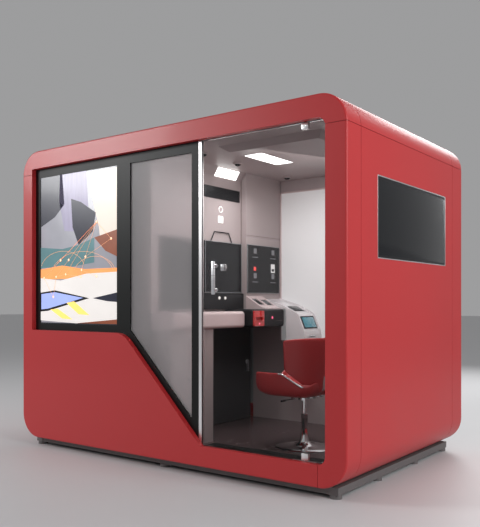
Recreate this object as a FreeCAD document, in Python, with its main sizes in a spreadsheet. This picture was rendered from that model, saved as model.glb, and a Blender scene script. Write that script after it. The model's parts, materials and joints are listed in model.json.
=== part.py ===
"""Walk-in self-service banking booth: a rounded steel pod with a glazed front, a pivoting glass door,
a wall of teller equipment on its left and a swivel chair.

Millimetres. +X is to the right of somebody who faces the glazed front, +Y goes into the booth and +Z is up.
The origin is on the ground under the middle of the booth. Every size that drives the model is a cell of the
sheet "Dims"; everything else is worked out from those cells by expressions.
"""
import FreeCAD, Part
import os

import Sketcher

doc = FreeCAD.newDocument("banking_booth")
sheet = doc.addObject("Spreadsheet::Sheet", "Dims")

DIMENSIONS = [
    # the shell
    ("booth_width", 3010, "outside width"),
    ("booth_depth", 1900, "outside depth"),
    ("booth_height", 2400, "ground to roof"),
    ("ground_gap", 70, "ground to the shell's lowest edge"),
    ("corner_radius", 190, "outside radius of the four long edges"),
    ("skin", 16, "thickness of the shell's skin"),
    ("seam", 3, "open seam between two shell panels"),
    ("seam_height", 2213, "height of the seam under the roof"),
    ("seam_inset", 196, "from a side to the seam in the floor"),
    ("front_band", 175, "depth of the front ring"),
    ("rear_band", 200, "depth of the rear ring"),
    ("lip", 40, "thickness of a ring's face"),
    ("front_round", 12, "rounding of the front ring's outer edge"),
    # the opening in the front
    ("opening_left", 119, "left side to the opening"),
    ("opening_right", 144, "right side to the opening"),
    ("opening_top", 2258, "top of the opening"),
    ("opening_bottom", 207, "bottom of the opening"),
    ("opening_round", 55, "radius of its right corners"),
    ("sill_height", 944, "top of the low panel on the left"),
    ("slope_foot", 407, "x where the 45 degree edge meets the bottom rail"),
    ("slope_round", 200, "radius above the 45 degree edge"),
    # the glazing
    ("bar_depth", 30, "depth of the black glazing bars"),
    ("bar_lap", 12, "how far the bars reach behind the ring"),
    ("poster_left", -1327, "left edge of the poster screen"),
    ("poster_right", -430, "right edge of the poster screen"),
    ("poster_bottom", 999, "bottom of the poster screen"),
    ("glazing_top", 2186, "top of both panes"),
    ("pane_left", -292, "left edge of the frosted pane"),
    ("pane_right", 301, "right edge of the frosted pane"),
    ("jamb_right", 359, "right edge of the door jamb"),
    ("slope_bar", 62, "visible width of the sloping bar, measured along x"),
    ("glass", 10, "thickness of the glass"),
    # the door
    ("door_gap", 6, "gap round the door"),
    ("pivot_x", 1198, "x of the door's pivots"),
    ("door_inset", 50, "front of the booth to the middle of the glass"),
    ("stile", 25, "width of the bright stile"),
    ("patch_width", 48, "width of a patch fitting"),
    ("patch_tall", 40, "height of a patch fitting"),
    ("patch_thick", 24, "thickness of a patch fitting"),
    ("pivot_radius", 9, "radius of a pivot pin"),
    ("fit", 0.05, "radial clearance of a running fit"),
    ("handle_x", 512, "x of the door's handle"),
    ("handle_low", 1219, "bottom of the handle"),
    ("handle_high", 1439, "top of the handle"),
    ("lock_x", 566, "x of the lock"),
    ("lock_z", 1397, "height of the lock"),
    ("sill_top", 200, "top of the sill under the door"),
    # the room
    ("floor_top", 92, "top of the floor"),
    ("ceiling", 2280, "underside of the ceiling"),
    ("back_face", 860, "front face of the back lining"),
    ("board", 12, "thickness of a lining board"),
    ("right_face", 1425, "face of the right lining"),
    ("low_lining_top", 823, "top of the dark lower lining"),
    ("light_panel_top", 2180, "top of the white back panel"),
    ("partition_y", -800, "front face of the partition behind the poster"),
    # the terminal wall
    ("wall_face", -197, "x of the terminal wall's face"),
    ("tower_face", -144, "x of the console tower's face"),
    ("tower_start", 324, "y where the tower starts"),
    ("valance_foot", 2207, "height where the sloping valance starts"),
    ("screen_low", 1250, "bottom of the screens"),
    ("screen_tall", 420, "height of the screens"),
    ("screen_wide", 486, "width of the screens"),
    ("main_screen_y", 66, "y of the middle of the main screen"),
    ("left_screen_y", -451, "y of the middle of the left screen"),
    ("touch_screen_y", 580, "y of the middle of the touch screen"),
    # the desk
    ("slab_front", 30, "x of the counter's front"),
    ("slab_end", 85, "y of the counter's far end"),
    ("slab_low", 964, "underside of the counter"),
    ("slab_top", 1097, "top of the counter"),
    ("slab_round", 30, "rounding of the counter"),
    ("cabinet_end", -296, "y of the cabinet's far side"),
    ("knee_face", -450, "x of the back of the knee space"),
    ("safe_start", 240, "y of the safe door's hinge side"),
    ("safe_door_wide", 560, "width of the safe door"),
    ("module_front", 90, "x of the black module's front"),
    ("module_start", 95, "y of the module's near end"),
    ("module_end", 570, "y of the module's far end"),
    ("module_low", 963, "underside of the module"),
    ("module_top", 1112, "top of the module"),
    ("kiosk_start", 577, "y of the kiosk's near side"),
    ("kiosk_end", 855, "y of the kiosk's far side"),
    # the chair
    ("chair_x", 680, "x of the chair's axis"),
    ("chair_y", -65, "y of the chair's axis"),
    ("chair_base", 215, "radius of the chair's base"),
    ("column_radius", 25, "radius of the fixed column tube"),
    ("rod_radius", 19, "radius of the sliding column"),
    ("seat_under", 444, "underside of the seat shell"),
]


class Size:
    """A length that knows its value and the spreadsheet expression that it comes from."""

    def __init__(self, text, value):
        self.text = text
        self.value = float(value)

    def __add__(self, other):
        other = size(other)
        return Size(f"({self.text} + {other.text})", self.value + other.value)

    def __sub__(self, other):
        other = size(other)
        return Size(f"({self.text} - {other.text})", self.value - other.value)

    def __mul__(self, factor):
        return Size(f"({self.text} * {factor})", self.value * factor)

    def __truediv__(self, factor):
        return Size(f"({self.text} / {factor})", self.value / factor)

    def __neg__(self):
        return Size(f"(-{self.text})", -self.value)

    def __radd__(self, other):
        return size(other) + self

    def __rsub__(self, other):
        return size(other) - self


def size(number):
    """Let a plain number stand where a Size is wanted."""
    return number if isinstance(number, Size) else Size(f"({number})", number)


class Dims:
    """The sheet's cells as attributes."""


d = Dims()
for row, (alias, value, note) in enumerate(DIMENSIONS, start=1):
    sheet.set(f"A{row}", alias)
    sheet.set(f"B{row}", str(value))
    sheet.set(f"C{row}", note)
    sheet.setAlias(f"B{row}", alias)
    setattr(d, alias, Size(f"Dims.{alias}", value))
doc.recompute()

NORMAL_AXIS = {"XY": "z", "XZ": "y", "YZ": "x"}
nodes = []


def keep(solid):
    """Count a finished object as a sub-part; its Label names its file."""
    nodes.append(solid)
    return solid


def place(solid, x=0, y=0, z=0):
    """Bind an object's position to the sheet."""
    for axis, where in zip("xyz", (x, y, z)):
        solid.setExpression(f"Placement.Base.{axis}", size(where).text)
    return solid


def box(name, xs, ys, zs):
    """A block between two positions on each axis."""
    solid = doc.addObject("Part::Box", name)
    for prop, (low, high) in (("Length", xs), ("Width", ys), ("Height", zs)):
        solid.setExpression(prop, (size(high) - low).text)
    return place(solid, xs[0], ys[0], zs[0])


def cylinder(name, radius, length, axis, x, y, z):
    """A round bar that starts at x, y, z and runs along +axis."""
    solid = doc.addObject("Part::Cylinder", name)
    turns = {"x": FreeCAD.Rotation(FreeCAD.Vector(0, 1, 0), 90),
             "y": FreeCAD.Rotation(FreeCAD.Vector(1, 0, 0), -90),
             "z": FreeCAD.Rotation()}
    solid.Placement = FreeCAD.Placement(FreeCAD.Vector(), turns[axis])
    solid.setExpression("Radius", size(radius).text)
    solid.setExpression("Height", size(length).text)
    return place(solid, x, y, z)


def prism(name, plane, points, low, high, rounds=()):
    """A body padded from a closed outline in a plane, from low to high along the plane's normal.

    rounds lists (radius, point numbers): the corners of the outline that are filleted.
    """
    body = doc.addObject("PartDesign::Body", name)
    support = [f for f in body.Origin.OriginFeatures if f.Role == f"{plane}_Plane"][0]
    sketch = body.newObject("Sketcher::SketchObject", f"{name}_outline")
    sketch.AttachmentSupport = [(support, "")]
    sketch.MapMode = "FlatFace"
    corners = [(size(u), size(v)) for u, v in points]
    spots = [FreeCAD.Vector(u.value, v.value, 0) for u, v in corners]
    count = len(spots)
    for i in range(count):
        sketch.addGeometry(Part.LineSegment(spots[i], spots[(i + 1) % count]), False)
    for i in range(count):
        sketch.addConstraint(Sketcher.Constraint("Coincident", i, 2, (i + 1) % count, 1))
    for i, (u, v) in enumerate(corners):
        for kind, where in (("DistanceX", u), ("DistanceY", v)):
            row = sketch.addConstraint(Sketcher.Constraint(kind, -1, 1, i, 1, where.value))
            sketch.setExpression(f"Constraints[{row}]", where.text)
    pad = body.newObject("PartDesign::Pad", f"{name}_pad")
    pad.Profile = (sketch, [""])
    pad.setExpression("Length", (size(high) - low).text)
    pad.Reversed = plane == "XZ"
    body.Tip = pad
    last = pad
    for number, (radius, picked) in enumerate(rounds):
        doc.recompute()
        wanted = [spots[i] for i in picked]
        last = fillet(body, last, f"{name}_round{number}", radius, corner_edges(last, plane, wanted))
    return place(body, **{NORMAL_AXIS[plane]: low})


def corner_edges(feature, plane, spots):
    """Names of the edges along a prism's length that stand on the given corners of its outline."""
    names = []
    for number, edge in enumerate(feature.Shape.Edges, start=1):
        ends = [flat(v.Point, plane) for v in edge.Vertexes]
        if len(ends) == 2 and (ends[0] - ends[1]).Length < 1e-4:
            if any((ends[0] - spot).Length < 1e-3 for spot in spots):
                names.append(f"Edge{number}")
    return names


def flat(point, plane):
    """A point's place in a plane's own two directions."""
    pair = {"XY": (point.x, point.y), "XZ": (point.x, point.z), "YZ": (point.y, point.z)}[plane]
    return FreeCAD.Vector(pair[0], pair[1], 0)


def fillet(body, base, name, radius, edges):
    """Round some edges of a body."""
    feature = body.newObject("PartDesign::Fillet", name)
    feature.Base = (base, edges)
    feature.setExpression("Radius", size(radius).text)
    body.Tip = feature
    return feature


def round_where(body, radius, wanted):
    """Round the edges of a body whose middle point passes a test."""
    doc.recompute()
    base = body.Tip
    edges = [f"Edge{i}" for i, edge in enumerate(base.Shape.Edges, start=1)
             if wanted(edge.CenterOfMass, edge.BoundBox)]
    return fillet(body, base, f"{body.Name}_edges{len(body.Group)}", radius, edges)


def rectangle(low_u, high_u, low_v, high_v):
    """The four corners of a rectangle, anticlockwise from the lowest."""
    return [(low_u, low_v), (high_u, low_v), (high_u, high_v), (low_u, high_v)]


def fuse(name, *solids):
    whole = doc.addObject("Part::MultiFuse", name)
    whole.Shapes = list(solids)
    whole.Refine = True
    return whole


def cut(name, base, *tools):
    rest = doc.addObject("Part::Cut", name)
    rest.Base = base
    rest.Tool = tools[0] if len(tools) == 1 else fuse(f"{name}_tools", *tools)
    return rest


def common(name, first, second):
    shared = doc.addObject("Part::Common", name)
    shared.Base = first
    shared.Tool = second
    return shared


def group(name, solids):
    """Identical separate pieces that share one node."""
    pieces = doc.addObject("Part::Compound", name)
    pieces.Links = list(solids)
    return pieces


# Positions that many pieces share
half_width = d.booth_width / 2
front = -d.booth_depth / 2
back = d.booth_depth / 2
lip_back = front + d.lip
band_front = front + d.front_band
band_back = back - d.rear_band
half_seam = d.seam / 2
split_x = half_width - d.seam_inset
opening_x0 = -half_width + d.opening_left
opening_x1 = half_width - d.opening_right
slope_head = d.slope_foot - (d.sill_height - d.opening_bottom)
FAR = 4000


# ---------------------------------------------------------------------------------------------- shell

def shell_profile(name, inset, low, high):
    """The booth's rounded outline, set in by inset, as a solid from low to high along y."""
    outline = rectangle(-half_width + inset, half_width - inset, d.ground_gap + inset, d.booth_height - inset)
    return prism(name, "XZ", outline, low, high, [(d.corner_radius - inset, (0, 1, 2, 3))])


def split_shell(whole, name, xs, zs):
    """The part of a shell ring that lies between two positions in x and z."""
    return keep(common(name, whole, box(f"{name}_zone", xs, (-FAR, FAR), zs)))


def build_front_ring():
    """The front ring: a thick face with the glazed opening in it, and a skin that runs back from it."""
    outside = shell_profile("front_ring_outside", 0, front, band_front)
    round_where(outside, d.front_round,
                lambda middle, bounds: abs(middle.y) < 1e-3 and bounds.YLength < 1e-3)
    hollow = shell_profile("front_ring_hollow", d.skin, lip_back, band_front + 1)
    opening = prism("front_opening", "XZ",
                    [(opening_x0, d.sill_height), (slope_head, d.sill_height),
                     (d.slope_foot, d.opening_bottom), (opening_x1, d.opening_bottom),
                     (opening_x1, d.opening_top), (opening_x0, d.opening_top)],
                    front - 1, lip_back + 1,
                    [(d.slope_round, (1,)), (d.opening_round, (3, 4)), (d.front_round, (0, 5))])
    ring = cut("front_ring", outside, hollow, opening)
    split_shell(ring, "front_top_beam", (-FAR, FAR), (d.seam_height + half_seam, FAR))
    split_shell(ring, "front_right_post", (split_x + half_seam, FAR), (0, d.seam_height - half_seam))
    split_shell(ring, "front_lower_panel", (-FAR, split_x - half_seam), (0, d.seam_height - half_seam))


def build_middle_shell():
    """The skin between the rings: a roof, two sides and a flat pan under the floor."""
    low, high = band_front + d.seam, band_back - d.seam
    band = cut("middle_band", shell_profile("middle_outside", 0, low, high),
               shell_profile("middle_hollow", d.skin, low - 1, high + 1))
    below = (0, d.seam_height - half_seam)
    roof = common("roof_band", band, box("roof_zone", (-FAR, FAR), (-FAR, FAR), (d.seam_height + half_seam, FAR)))
    holes = [cylinder(f"roof_hole_{i}", LIFT_RADIUS, d.skin + 2, "z", x, y, d.booth_height - d.skin - 1)
             for i, (x, y) in enumerate(lift_points())]
    keep(cut("roof_shell", roof, *holes))
    split_shell(band, "side_panel_left", (-FAR, -split_x - half_seam), below)
    blank = common("side_panel_right_blank", band,
                   box("side_panel_right_zone", (split_x + half_seam, FAR), (-FAR, FAR), below))
    recess = box("side_display_recess", (half_width - DISPLAY_DEPTH, half_width + 1), SIDE_DISPLAY_Y, SIDE_DISPLAY_Z)
    keep(cut("side_panel_right", blank, recess))
    pan = box("floor_pan_blank", (-split_x + half_seam, split_x - half_seam), (low, high),
              (d.ground_gap, d.ground_gap + d.skin))
    keep(cut("floor_pan", pan, cylinder("inlet_hole", INLET_RADIUS, d.skin + 2, "z", INLET_X, INLET_Y, d.ground_gap - 1)))


def build_rear_ring():
    """The rear ring has the same section as the front one, round a plain rectangular opening."""
    outside = shell_profile("rear_ring_outside", 0, band_back, back)
    hollow = shell_profile("rear_ring_hollow", d.skin, band_back - 1, back - d.lip)
    opening = prism("rear_opening", "XZ",
                    rectangle(-opening_x1, opening_x1, d.opening_bottom, d.opening_top),
                    back - d.lip - 1, back + 1, [(d.front_round, (0, 1, 2, 3))])
    ring = cut("rear_ring", outside, hollow, opening)
    split_shell(ring, "rear_top_beam", (-FAR, FAR), (d.seam_height + half_seam, FAR))
    split_shell(ring, "rear_frame", (-FAR, FAR), (0, d.seam_height - half_seam))


LIFT_RADIUS = 10
LIFT_SPACING_X = 2200
LIFT_SPACING_Y = 1100
DISPLAY_DEPTH = 12
SIDE_DISPLAY_Y = (-550, 605)
SIDE_DISPLAY_Z = (1440, 1960)
INLET_X = -1150
INLET_Y = 600
INLET_RADIUS = 25
DECK_HOLE = 34


def lift_points():
    """Where the four lifting inserts sit in the roof."""
    return [(x * LIFT_SPACING_X / 2, y * LIFT_SPACING_Y / 2) for x in (-1, 1) for y in (-1, 1)]


def build_roof_fittings():
    """Lifting inserts with a 20 mm hole under the roof."""
    inserts = []
    for i, (x, y) in enumerate(lift_points()):
        foot = d.booth_height - d.skin - 24
        flange = cylinder(f"insert_flange_{i}", 28, 24, "z", x, y, foot)
        bore = cylinder(f"insert_bore_{i}", LIFT_RADIUS, 30, "z", x, y, foot - 3)
        inserts.append(cut(f"insert_{i}", flange, bore))
    keep(group("lifting_inserts", inserts))


def build_plinth():
    """Skids and cross rails under the shell, on ten levelling feet."""
    low, high = 24, d.ground_gap
    rails = []
    for i, side in enumerate((-1, 1)):
        rail = box(f"skid_{i}", (side * 1375 - 35, side * 1375 + 35), (-880, 880), (low, high))
        holes = [cylinder(f"anchor_{i}_{j}", 7, 60, "z", side * 1375, y, low - 2) for j, y in enumerate((-600, 600))]
        rails.append(cut(f"drilled_skid_{i}", rail, *holes))
    for i, y in enumerate((-845, -300, 300, 845)):
        rails.append(box(f"cross_rail_{i}", (-1340, 1340), (y - 30, y + 30), (low, high)))
    keep(group("plinth_rails", rails))
    feet = []
    for i, (x, y) in enumerate([(x, y) for x in (-1375, 0, 1375) for y in (-845, -300, 300, 845)]):
        if x != 0 or abs(y) > 300:
            feet.append(cylinder(f"foot_{i}", 38, low, "z", x, y, 0))
    keep(group("levelling_feet", feet))


# -------------------------------------------------------------------------------------------- glazing

def build_glazing():
    """Black bars behind the front opening, the poster screen and the frosted pane."""
    ys = (lip_back, lip_back + d.bar_depth)
    lap = d.bar_lap
    outer_sum = d.slope_foot + d.opening_bottom - lap * 1.4142
    inner_sum = d.slope_foot + d.opening_bottom + d.slope_bar
    foot = d.sill_height - lap
    bars = [box("glazing_left_stile", (opening_x0 - lap, d.poster_left), ys, (foot, d.opening_top + lap)),
            box("glazing_top_rail", (d.poster_left, d.jamb_right), ys, (d.glazing_top, d.opening_top + lap)),
            box("glazing_sill_rail", (d.poster_left, d.poster_right), ys, (foot, d.poster_bottom))]
    bars.append(prism("glazing_mullion", "XZ",
               [(d.poster_right, foot), (outer_sum - foot, foot), (d.pane_left, outer_sum - d.pane_left),
                (d.pane_left, d.glazing_top), (d.poster_right, d.glazing_top)], *ys))
    bars.append(prism("glazing_slope_bar", "XZ",
               [(d.pane_left, outer_sum - d.pane_left), (d.pane_right, outer_sum - d.pane_right),
                (d.pane_right, inner_sum - d.pane_right), (d.pane_left, inner_sum - d.pane_left)], *ys))
    bars.append(prism("door_jamb", "XZ",
               [(d.pane_right, outer_sum - d.pane_right), (d.jamb_right, outer_sum - d.jamb_right),
                (d.jamb_right, d.glazing_top), (d.pane_right, d.glazing_top)], *ys))
    keep(group("glazing_frame", bars))
    pane_y = lip_back + 10
    keep(prism("frosted_pane", "XZ",
               [(d.pane_right, inner_sum - d.pane_right), (d.pane_right, d.glazing_top),
                (d.pane_left, d.glazing_top), (d.pane_left, inner_sum - d.pane_left)],
               pane_y, pane_y + d.glass))
    face = lip_back + 4
    poster_x, poster_z = (d.poster_left, d.poster_right), (d.poster_bottom, d.glazing_top)
    keep(box("poster_display", poster_x, (face, face + 65), poster_z))


# ----------------------------------------------------------------------------------------------- door

door_y = front + d.door_inset
door_x0 = d.jamb_right + 5
glass_x0 = door_x0 + d.stile
glass_x1 = opening_x1 - d.door_gap
door_z0 = d.opening_bottom + d.door_gap
door_z1 = d.opening_top - d.door_gap


def build_door():
    """A frameless glass door on two patch fittings, with a bright stile, a D handle outside and a lock."""
    half = d.glass / 2
    pane = box("door_pane", (glass_x0, glass_x1), (door_y - half, door_y + half), (door_z0, door_z1))
    keep(box("door_stile", (door_x0, glass_x0), (door_y - 10, door_y + 10), (door_z0, door_z1)))
    patches = []
    for name, low, high, bore_low in (("bottom_patch", door_z0, door_z0 + d.patch_tall, door_z0 - 1),
                                      ("top_patch", door_z1 - d.patch_tall, door_z1, door_z1 - 29)):
        block = box(f"{name}_block", (d.pivot_x - d.patch_width / 2, d.pivot_x + d.patch_width / 2),
                    (door_y - d.patch_thick / 2, door_y + d.patch_thick / 2), (low, high))
        bore = cylinder(f"{name}_bore", d.pivot_radius + d.fit, 30, "z", d.pivot_x, door_y, bore_low)
        patches.append(cut(name, block, bore))
    keep(group("patch_fittings", patches))
    cutters = [box(f"glass_notch_{i}", (d.pivot_x - d.patch_width / 2, d.pivot_x + d.patch_width / 2),
                   (door_y - d.glass, door_y + d.glass), zs)
               for i, zs in enumerate(((door_z0 - 1, door_z0 + d.patch_tall), (door_z1 - d.patch_tall, door_z1 + 1)))]
    keep(cut("door_glass", pane, *cutters))
    furniture = []
    bar_back = door_y - half - 31
    bar = box("handle_bar", (d.handle_x - 14, d.handle_x + 14), (bar_back - 10, bar_back), (d.handle_low, d.handle_high))
    posts = [cylinder(f"handle_post_{i}", 8, 31, "y", d.handle_x, bar_back, z)
             for i, z in enumerate((d.handle_low + 30, d.handle_high - 30))]
    furniture.append(fuse("door_handle", bar, *posts))
    lock_x, lock_z = (d.lock_x - 13, d.lock_x + 13), (d.lock_z - 22, d.lock_z + 22)
    furniture.append(box("door_lock_plate", lock_x, (door_y - half - 9, door_y - half), lock_z))
    furniture.append(box("door_lock_case", lock_x, (door_y + half, door_y + half + 14), lock_z))
    keep(group("door_furniture", furniture))
    turn_y = door_y + half + 14.3
    keep(fuse("lock_thumb_turn", cylinder("turn_rose", 9, 4, "y", d.lock_x, turn_y, d.lock_z + 6),
              box("turn_grip", (d.lock_x - 3, d.lock_x + 3), (turn_y + 4, turn_y + 18),
                  (d.lock_z - 4, d.lock_z + 16))))


def build_doorway():
    """What the door turns on: the sill, the floor spring let into it and the header with the top pin."""
    ys = (lip_back, lip_back + 60)
    spring_x = (d.pivot_x - 110, d.pivot_x + 60)
    sill = box("door_sill_blank", (d.jamb_right, opening_x1 - d.door_gap), ys, (d.floor_top, d.sill_top))
    room = box("spring_room", spring_x, (lip_back - 1, lip_back + 45), (d.floor_top + 40, d.sill_top + 1))
    sill = cut("door_sill", sill, room)
    case = box("spring_case", spring_x, (lip_back, lip_back + 45), (d.floor_top + 40, d.sill_top - 3))
    spindle = cylinder("spring_spindle", d.pivot_radius, 43, "z", d.pivot_x, door_y, d.sill_top - 3)
    plate = box("floor_plate", spring_x, (lip_back, lip_back + 45), (d.sill_top - 3, d.sill_top))
    keep(fuse("floor_spring", case, plate, spindle))
    header = box("header_bar", (d.jamb_right, opening_x1 + d.bar_lap), (lip_back, lip_back + d.bar_depth),
                 (d.opening_top, d.ceiling))
    pin = cylinder("header_pin", d.pivot_radius, 33, "z", d.pivot_x, door_y, d.opening_top - 33)
    keep(group("door_frame", [sill, fuse("door_header", header, pin)]))


# ----------------------------------------------------------------------------------- room and ceiling

def build_room():
    """Floor, linings and the partition that closes the equipment space."""
    deck = box("floor_deck_blank", (-1305, 1305), (lip_back, d.back_face), (d.ground_gap + d.skin, d.floor_top))
    keep(cut("floor_deck", deck, cylinder("deck_hole", DECK_HOLE, 20, "z", INLET_X, INLET_Y, d.floor_top - 10)))
    ys = (d.back_face, d.back_face + d.board)
    low = prism("back_lining_low", "XZ",
                [(d.knee_face, d.floor_top), (opening_x1 - d.door_gap, d.floor_top),
                 (d.right_face, LINING_FOOT), (d.right_face, d.low_lining_top),
                 (d.tower_face, d.low_lining_top), (d.tower_face, d.module_low), (d.knee_face, d.module_low)], *ys)
    dark = [low,
            box("back_cove", (d.tower_face, d.right_face), (d.back_face + 4, d.back_face + d.board),
                (d.light_panel_top, d.ceiling))]
    keep(group("back_lining", dark))
    keep(box("back_light_panel", (d.tower_face, d.right_face), ys, (d.low_lining_top, d.light_panel_top)))
    right = box("right_lining", (d.right_face, d.right_face + d.board), (lip_back, d.back_face), (LINING_FOOT, d.ceiling))
    partition = box("front_partition", (-1330, d.wall_face - 20), (d.partition_y, d.partition_y + d.board),
                    (d.floor_top, d.ceiling))
    keep(group("room_linings", [right, partition]))


LINING_FOOT = 150


def build_ceiling():
    """A flat ceiling, a tray with bevelled sides that holds a light, and small camera domes."""
    panel = box("ceiling_panel", (-150, d.right_face), (lip_back, d.back_face), (d.ceiling, d.ceiling + 10))
    drop = 40
    tray = box("tray_blank", (300, 1150), (-620, 290), (d.ceiling - drop, d.ceiling))
    shear = [prism("tray_bevel_left", "XZ", [(300, d.ceiling - drop), (360, d.ceiling - drop), (300, d.ceiling)], -621, 291),
             prism("tray_bevel_right", "XZ", [(1090, d.ceiling - drop), (1150, d.ceiling - drop), (1150, d.ceiling)], -621, 291),
             prism("tray_bevel_front", "YZ", [(-620, d.ceiling - drop), (-560, d.ceiling - drop), (-620, d.ceiling)], 299, 1151),
             prism("tray_bevel_back", "YZ", [(230, d.ceiling - drop), (290, d.ceiling - drop), (290, d.ceiling)], 299, 1151),
             box("light_pocket", LIGHT_X, LIGHT_Y, (d.ceiling - drop - 1, d.ceiling - drop + 8))]
    tray = cut("ceiling_tray", tray, *shear)
    lamp = box("ceiling_lamp", LIGHT_X, LIGHT_Y, (d.ceiling - drop, d.ceiling - drop + 8))
    domes = [cylinder(f"camera_{i}", 38, 26, "z", x, y, d.ceiling - 26)
             for i, (x, y) in enumerate(((75, -510), (55, -60), (40, 690)))]
    keep(group("ceiling_cameras", domes))
    return panel, tray, lamp


LIGHT_X = (376, 531)
LIGHT_Y = (-405, 12)


# -------------------------------------------------------------------------------------- terminal wall

def build_terminal_wall(ceiling, tray, lamp):
    """The wall of screens that faces the customer, and the sloping valance over it."""
    wall_x = (d.wall_face - 20, d.wall_face)
    wall_y = (d.partition_y + d.board, d.tower_start)
    wall = box("wall_board", wall_x, wall_y, (d.slab_top, d.valance_foot))
    slope = 47
    valance = prism("valance_blank", "XZ",
                    [(d.wall_face - 20, d.valance_foot), (d.wall_face, d.valance_foot),
                     (d.wall_face + slope, d.ceiling), (d.wall_face - 20, d.ceiling)], *wall_y)
    keep(group("ceiling_lining", [ceiling, tray, valance]))
    slab = prism("valance_light", "XZ",
                 [(d.wall_face + 3, d.valance_foot + 4), (d.wall_face + slope - 2, d.ceiling - 4),
                  (d.wall_face + slope, d.ceiling - 8), (d.wall_face + 6, d.valance_foot + 1)], -45, 238)
    keep(group("light_panels", [lamp, cut("valance_lamp", slab, valance)]))
    tower = box("console_tower", (d.wall_face - 20, d.tower_face), (d.tower_start, d.back_face),
                (d.module_top, d.ceiling))
    keep(group("terminal_wall", [wall, tower]))
    bezels, screens = [], []
    for name, centre, x, bezel in (("main", d.main_screen_y, d.wall_face, 12),
                                   ("left", d.left_screen_y, d.wall_face, 12),
                                   ("touch", d.touch_screen_y, d.tower_face, 7)):
        ys = (centre - d.screen_wide / 2, centre + d.screen_wide / 2)
        zs = (d.screen_low, d.screen_low + d.screen_tall)
        rim = 14
        housing = box(f"{name}_housing", (x, x + bezel + 4), ys, zs)
        seat = box(f"{name}_seat", (x + bezel, x + bezel + 5), (ys[0] + rim, ys[1] - rim), (zs[0] + rim, zs[1] - rim))
        bezels.append(cut(f"{name}_display", housing, seat))
        screens.append(box(f"{name}_screen", (x + bezel, x + bezel + 3), (ys[0] + rim, ys[1] - rim), (zs[0] + rim, zs[1] - rim)))
    grille = box("vent_blank", (d.wall_face, d.wall_face + 8), (-177, 294), (2025, 2121))
    slots = [box(f"vent_slot_{i}", (d.wall_face + 3, d.wall_face + 9), (-165, 282), (2033 + 12 * i, 2039 + 12 * i))
             for i in range(7)]
    keep(group("display_bezels", bezels + [build_hanger()]))
    keep(group("display_screens", screens))
    build_fascia(cut("vent_grille", grille, *slots))


def build_hanger():
    """The bent rod that the main display hangs from: two sloping legs and a top bar."""
    x = d.wall_face + 10
    points = [(-98, 1673), (-54, 1750), (137, 1750), (178, 1673)]
    rod = 4
    pieces = []
    for i in range(3):
        start = FreeCAD.Vector(0, *points[i])
        run = FreeCAD.Vector(0, *points[i + 1]) - start
        leg = doc.addObject("Part::Cylinder", f"hanger_leg_{i}")
        leg.Radius = rod
        leg.Height = run.Length
        leg.Placement = FreeCAD.Placement(start, FreeCAD.Rotation(FreeCAD.Vector(0, 0, 1), run))
        pieces.append(place(leg, x, *points[i]))
    for i in (1, 2):
        knuckle = doc.addObject("Part::Sphere", f"hanger_bend_{i}")
        knuckle.Radius = rod
        pieces.append(place(knuckle, x, *points[i]))
    standoffs = [cylinder(f"hanger_stud_{i}", 3, 10, "x", d.wall_face, y, 1750) for i, y in enumerate((0, 83))]
    return fuse("display_hanger", *pieces, *standoffs)


def build_fascia(grille):
    """The black strip under the screens with two sprung call buttons, and the vent over the screens."""
    face = d.wall_face + 32
    blank = box("fascia_blank", (d.wall_face, face), (-694, 318), (d.module_top, d.screen_low - 5))
    wells = [cylinder(f"button_well_{i}", 13.3, 12, "x", face - 11, y, BUTTON_Z) for i, y in enumerate(BUTTON_Y)]
    keep(group("control_fascia", [cut("fascia_strip", blank, *wells), grille]))
    for name, y in zip(("call_button", "help_button"), BUTTON_Y):
        keep(cylinder(name, 13, 10, "x", face - 6, y, BUTTON_Z))


BUTTON_Y = (-18, 60)
BUTTON_Z = 1205


# ----------------------------------------------------------------------------------------------- desk

def build_desk():
    """The counter, its cabinet, the knee space and the frame behind that carries them."""
    slab = prism("counter_slab", "YZ",
                 rectangle(d.partition_y + d.board, d.slab_end, d.slab_low, d.slab_top),
                 d.wall_face, d.slab_front, [(d.slab_round, (1, 2))])
    depth = (d.slab_front - d.wall_face).value
    round_where(slab, d.slab_round - 4,
                lambda middle, bounds: abs(middle.x - depth) < 1e-3 and bounds.XLength < 1e-3 and middle.y > -780)
    keep(slab)
    near = d.partition_y + d.board
    cabinet = box("cabinet_blank", (d.wall_face, 0), (near, d.cabinet_end), (d.floor_top, d.slab_low))
    inside = box("cabinet_inside", (d.wall_face - 1, -15), (near + 15, d.cabinet_end - 15),
                 (d.floor_top + 15, d.slab_low - 15))
    side = box("cabinet_return", (d.knee_face, d.wall_face), (d.cabinet_end - d.board, d.cabinet_end),
               (d.floor_top, d.module_low))
    keep(group("pedestal_cabinet", [cut("cabinet_box", cabinet, inside), side]))
    beam = box("desk_beam", (d.knee_face, d.wall_face), (d.cabinet_end, d.back_face), (d.module_low, d.slab_top))
    panel = box("knee_panel", (d.knee_face - d.board, d.knee_face), (d.cabinet_end, d.safe_start - 4),
                (d.floor_top, d.module_low))
    keep(group("desk_frame", [beam, panel]))


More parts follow.
